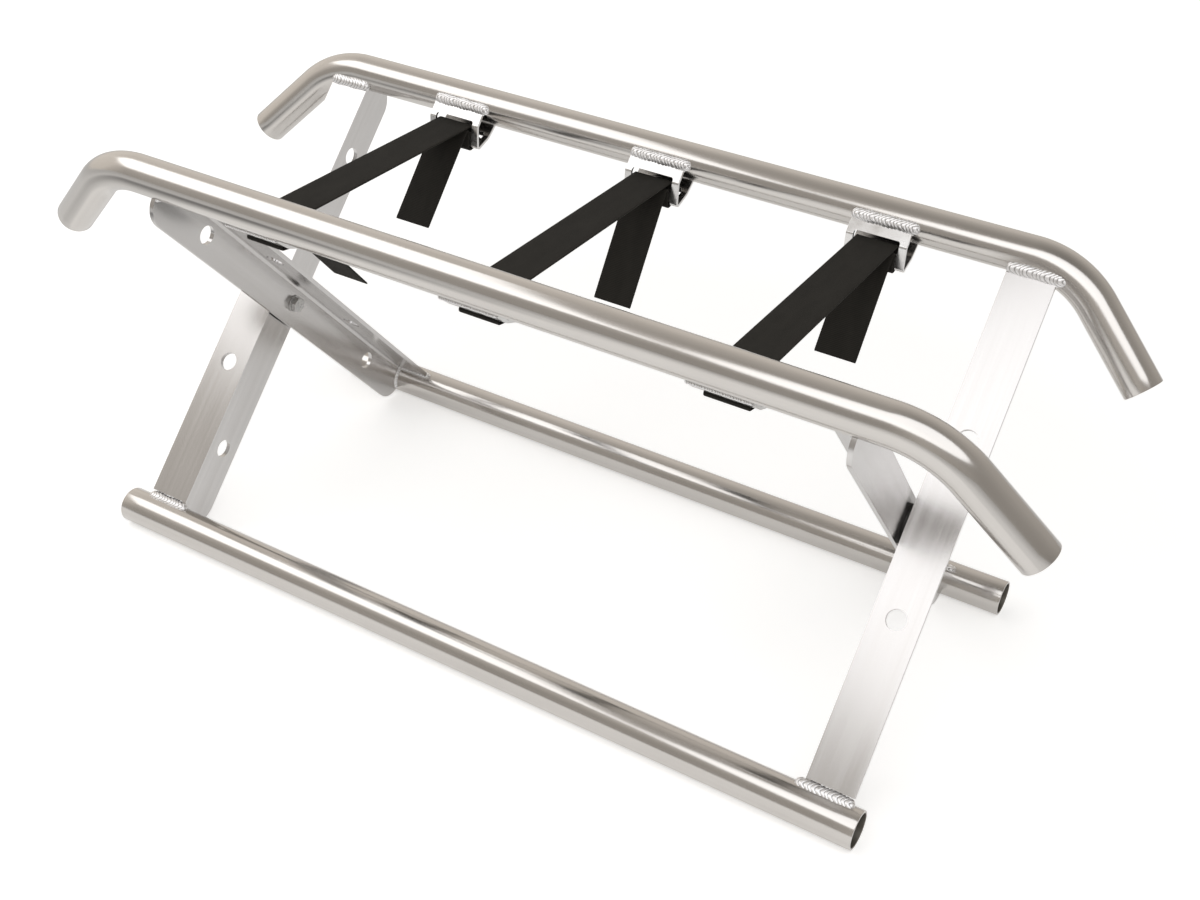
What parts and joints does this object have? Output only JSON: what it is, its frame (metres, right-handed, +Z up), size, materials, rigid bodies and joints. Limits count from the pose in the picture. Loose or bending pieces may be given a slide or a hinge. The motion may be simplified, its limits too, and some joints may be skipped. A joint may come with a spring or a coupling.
{
  "type": "personal watercraft scissor stand",
  "caption": "Folding scissor stand for a personal watercraft: crossed aluminium frames of tube and angle, bolted at the sides, with webbing straps between the bent top rails.",
  "frame": {"origin": "on the floor, midway between the rails' ends and midway between the foot tubes", "axes": "+X along the rails towards the right end, +Y from the near side to the far side, +Z up"},
  "size_m": [1.3476, 0.5452, 0.5583],
  "materials": {
    "tube": "polished, with long soft drawing marks",
    "angle": "satin mill finish with grain along the length",
    "bracket_sheet": "polished sheet",
    "weld_bead": "bright rippled weld",
    "fastener_steel": "zinc-plated steel",
    "spacer_nylon": "matte black nylon",
    "lock_ring": "matte nylon",
    "webbing": "black woven polyester webbing with cross ribs"
  },
  "bodies": {
    "outer_frame": {"outer_top_rail": "tube", "outer_bottom_tube": "tube", "outer_leg_left": "angle", "outer_leg_right": "angle", "outer_leg_welds": "weld_bead", "outer_bracket_left": "bracket_sheet", "outer_bracket_middle": "bracket_sheet", "outer_bracket_right": "bracket_sheet", "outer_bracket_welds": "weld_bead", "pivot_bolt_left": "fastener_steel", "pivot_bolt_right": "fastener_steel", "pivot_head_washer_left": "fastener_steel", "pivot_head_washer_right": "fastener_steel", "pivot_spacer_left": "spacer_nylon", "pivot_spacer_right": "spacer_nylon", "pivot_nut_washer_left": "fastener_steel", "pivot_nut_washer_right": "fastener_steel", "pivot_nut_left": "fastener_steel", "pivot_nut_right": "fastener_steel", "pivot_nut_ring_left": "lock_ring", "pivot_nut_ring_right": "lock_ring", "strap_left": "webbing", "strap_middle": "webbing", "strap_right": "webbing"},
    "inner_frame": {"inner_top_rail": "tube", "inner_bottom_tube": "tube", "inner_leg_left": "angle", "inner_leg_right": "angle", "inner_leg_welds": "weld_bead", "inner_bracket_left": "bracket_sheet", "inner_bracket_middle": "bracket_sheet", "inner_bracket_right": "bracket_sheet", "inner_bracket_welds": "weld_bead"}
  },
  "joints": [
    {"name": "scissor_fold", "type": "hinge", "parent": "outer_frame", "child": "inner_frame", "pos_m": [0, 0, 0.26696], "axis": [-1, 0, 0], "range_deg": [0, 66], "deforming": ["strap_left", "strap_middle", "strap_right"]}
  ]
}
